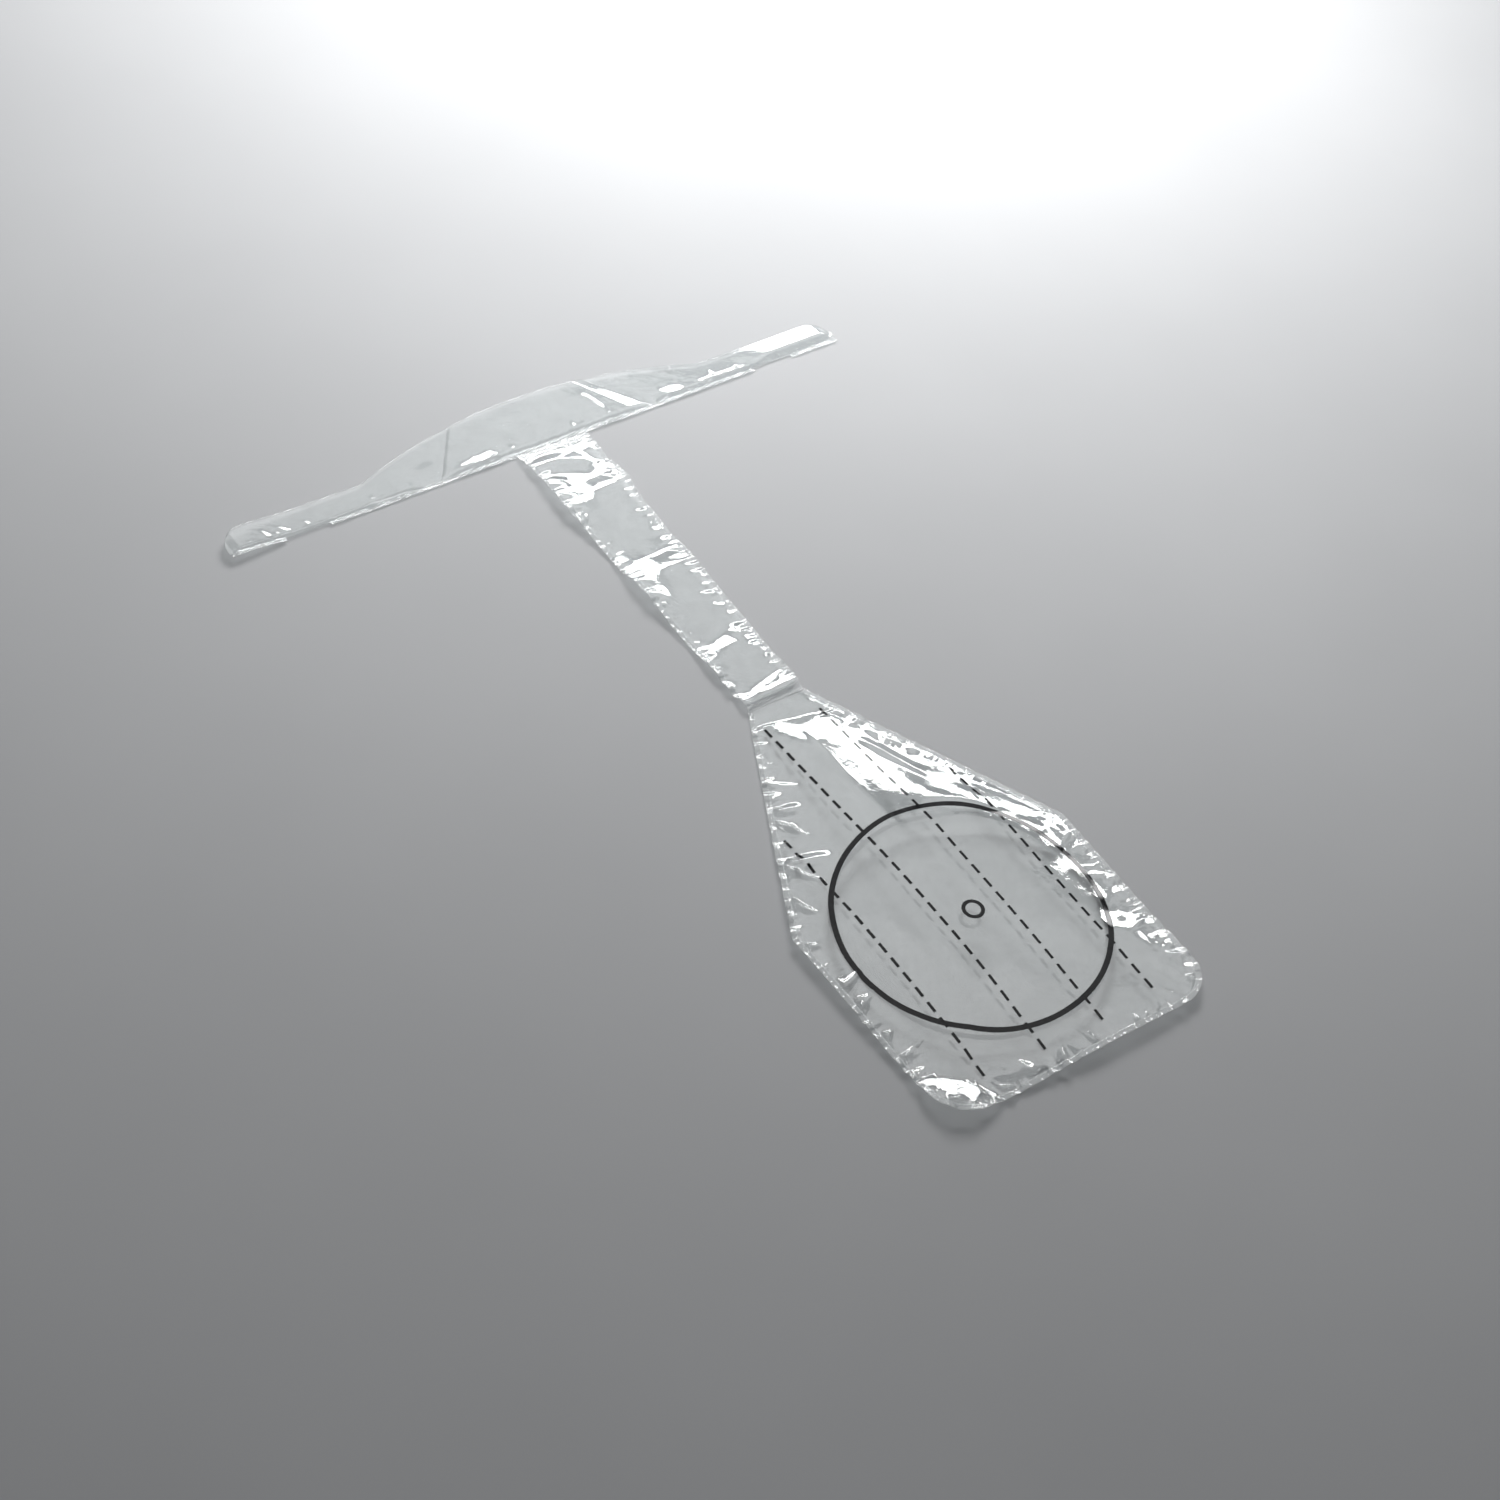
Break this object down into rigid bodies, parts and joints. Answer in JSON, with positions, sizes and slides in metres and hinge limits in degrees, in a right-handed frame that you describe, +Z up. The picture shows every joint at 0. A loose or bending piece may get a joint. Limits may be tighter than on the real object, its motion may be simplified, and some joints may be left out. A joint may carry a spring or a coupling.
{
  "type": "film collar",
  "caption": "Flat clear film collar with two wings, a strap and a paddle-shaped pouch printed with a ring and dashed guide lines; heat-sealed edges.",
  "frame": {"origin": "under the middle of the whole outline, on the surface that the film lies on", "axes": "+Z up off the surface, +Y from the paddle to the collar, +X along the collar to its right arm"},
  "size_m": [0.336, 0.444, 0.0098],
  "materials": {
    "film": "clear glossy thin film",
    "seal": "puckered heat seal in clear film",
    "ink": "black print on film"
  },
  "bodies": {
    "collar": {"collar_film": "film", "collar_seal": "seal"},
    "left_arm": {"left_arm_film": "film", "left_arm_seal": "seal", "left_tip_seal": "seal"},
    "right_arm": {"right_arm_film": "film", "right_arm_seal": "seal", "right_tip_seal": "seal"},
    "strap": {"strap_front_film": "film", "strap_back_film": "film", "strap_left_seal": "seal", "strap_right_seal": "seal", "strap_top_weld": "seal", "strap_end_weld": "seal"},
    "paddle": {"paddle_front_film": "film", "paddle_back_film": "film", "paddle_edge_seal": "seal", "target_ring": "ink", "centre_ring": "ink", "inner_left_line": "ink", "outer_left_line": "ink", "inner_right_line": "ink", "outer_right_line": "ink"}
  },
  "joints": [
    {"name": "left_arm_fold", "type": "hinge", "parent": "collar", "child": "left_arm", "pos_m": [-0.06, 0.1865, 0.0011], "axis": [0.5626, 0.8267, 0], "range_deg": [0, 120]},
    {"name": "right_arm_fold", "type": "hinge", "parent": "collar", "child": "right_arm", "pos_m": [0.06, 0.1865, 0.0011], "axis": [0.5626, -0.8267, 0], "range_deg": [0, 120]},
    {"name": "strap_fold", "type": "hinge", "parent": "collar", "child": "strap", "pos_m": [0, 0.18635, 0.0011], "axis": [-1, 0, 0], "range_deg": [0, 90]},
    {"name": "paddle_fold", "type": "hinge", "parent": "strap", "child": "paddle", "pos_m": [0, -0.00065, 0.0011], "axis": [-1, 0, 0], "range_deg": [0, 120]}
  ]
}
